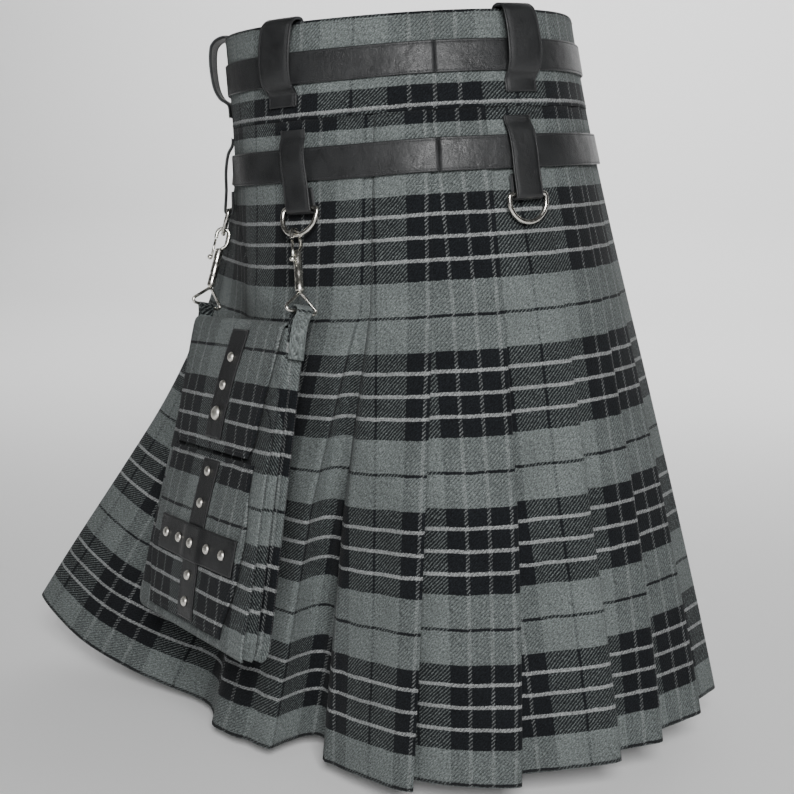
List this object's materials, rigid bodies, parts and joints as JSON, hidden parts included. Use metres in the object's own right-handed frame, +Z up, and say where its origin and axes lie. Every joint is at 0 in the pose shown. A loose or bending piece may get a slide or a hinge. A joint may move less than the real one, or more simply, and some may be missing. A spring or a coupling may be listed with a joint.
{
  "type": "utility kilt",
  "caption": "Open pleated utility kilt in checked wool cloth with leather straps, belt loops, D-rings and a clipped side pocket, shaped as if worn.",
  "frame": {"origin": "centre of the waist opening, level with the top edge of the waistband at the wearer's sides", "axes": "+Z up, -Y towards the wearer's front, +X towards the wearer's left side"},
  "size_m": [0.4987, 0.6897, 0.6309],
  "materials": {
    "cloth": "matte twill",
    "leather": "smooth satin",
    "nickel": "polished"
  },
  "bodies": {
    "kilt": {"front_apron": "cloth", "pleats_left": "cloth", "pleats_right": "cloth", "under_apron": "cloth", "waistband_front": "cloth", "waistband_back": "cloth", "strap_upper_front": "leather", "strap_upper_back": "leather", "closure_stud_upper": "nickel", "strap_lower_front": "leather", "strap_lower_back": "leather", "closure_stud_lower": "nickel", "belt_loop_front_left": "leather", "ring_loop_front_left": "leather", "ring_front_left": "nickel", "belt_loop_side_left": "leather", "ring_loop_side_left": "leather", "ring_side_left": "nickel", "belt_loop_back_left": "leather", "ring_loop_back_left": "leather", "belt_loop_front_right": "leather", "ring_loop_front_right": "leather", "belt_loop_side_right": "leather", "ring_loop_side_right": "leather", "belt_loop_back_right": "leather", "ring_loop_back_right": "leather", "pocket_bag": "cloth", "pocket_flap": "cloth", "pocket_patch": "cloth", "leather_flap_strip": "leather", "leather_cross_upright": "leather", "leather_cross_bar": "leather", "stud_flap_1": "nickel", "stud_flap_2": "nickel", "stud_upright_top_1": "nickel", "stud_upright_top_2": "nickel", "stud_bar_1": "nickel", "stud_bar_2": "nickel", "stud_bar_3": "nickel", "stud_bar_4": "nickel", "stud_bar_5": "nickel", "stud_upright_bottom_1": "nickel", "stud_upright_bottom_2": "nickel", "stud_flap_large_1": "nickel", "hook_body_front": "nickel", "hook_gate_front": "nickel", "hook_eye_front": "nickel", "pocket_loop_front": "cloth", "hook_body_rear": "nickel", "hook_gate_rear": "nickel", "hook_eye_rear": "nickel", "pocket_loop_rear": "cloth"},
    "d_ring_back_left": {"ring_back_left": "nickel"},
    "d_ring_front_right": {"ring_front_right": "nickel"},
    "d_ring_side_right": {"ring_side_right": "nickel"},
    "d_ring_back_right": {"ring_back_right": "nickel"}
  },
  "joints": [
    {"name": "d_ring_back_left_swing", "type": "hinge", "parent": "kilt", "child": "d_ring_back_left", "pos_m": [0.12547, 0.13887, -0.13853], "axis": [0.6591, -0.7512, -0.035], "range_deg": [0, 100]},
    {"name": "d_ring_front_right_swing", "type": "hinge", "parent": "kilt", "child": "d_ring_front_right", "pos_m": [-0.04198, -0.14738, -0.15785], "axis": [-0.9387, 0.3443, 0.0167], "range_deg": [0, 100]},
    {"name": "d_ring_side_right_swing", "type": "hinge", "parent": "kilt", "child": "d_ring_side_right", "pos_m": [-0.14074, -0.05923, -0.15235], "axis": [-0.3688, 0.9275, 0.0613], "range_deg": [0, 100]},
    {"name": "d_ring_back_right_swing", "type": "hinge", "parent": "kilt", "child": "d_ring_back_right", "pos_m": [-0.12399, 0.14054, -0.13846], "axis": [0.6671, 0.7441, 0.0345], "range_deg": [0, 100]}
  ]
}
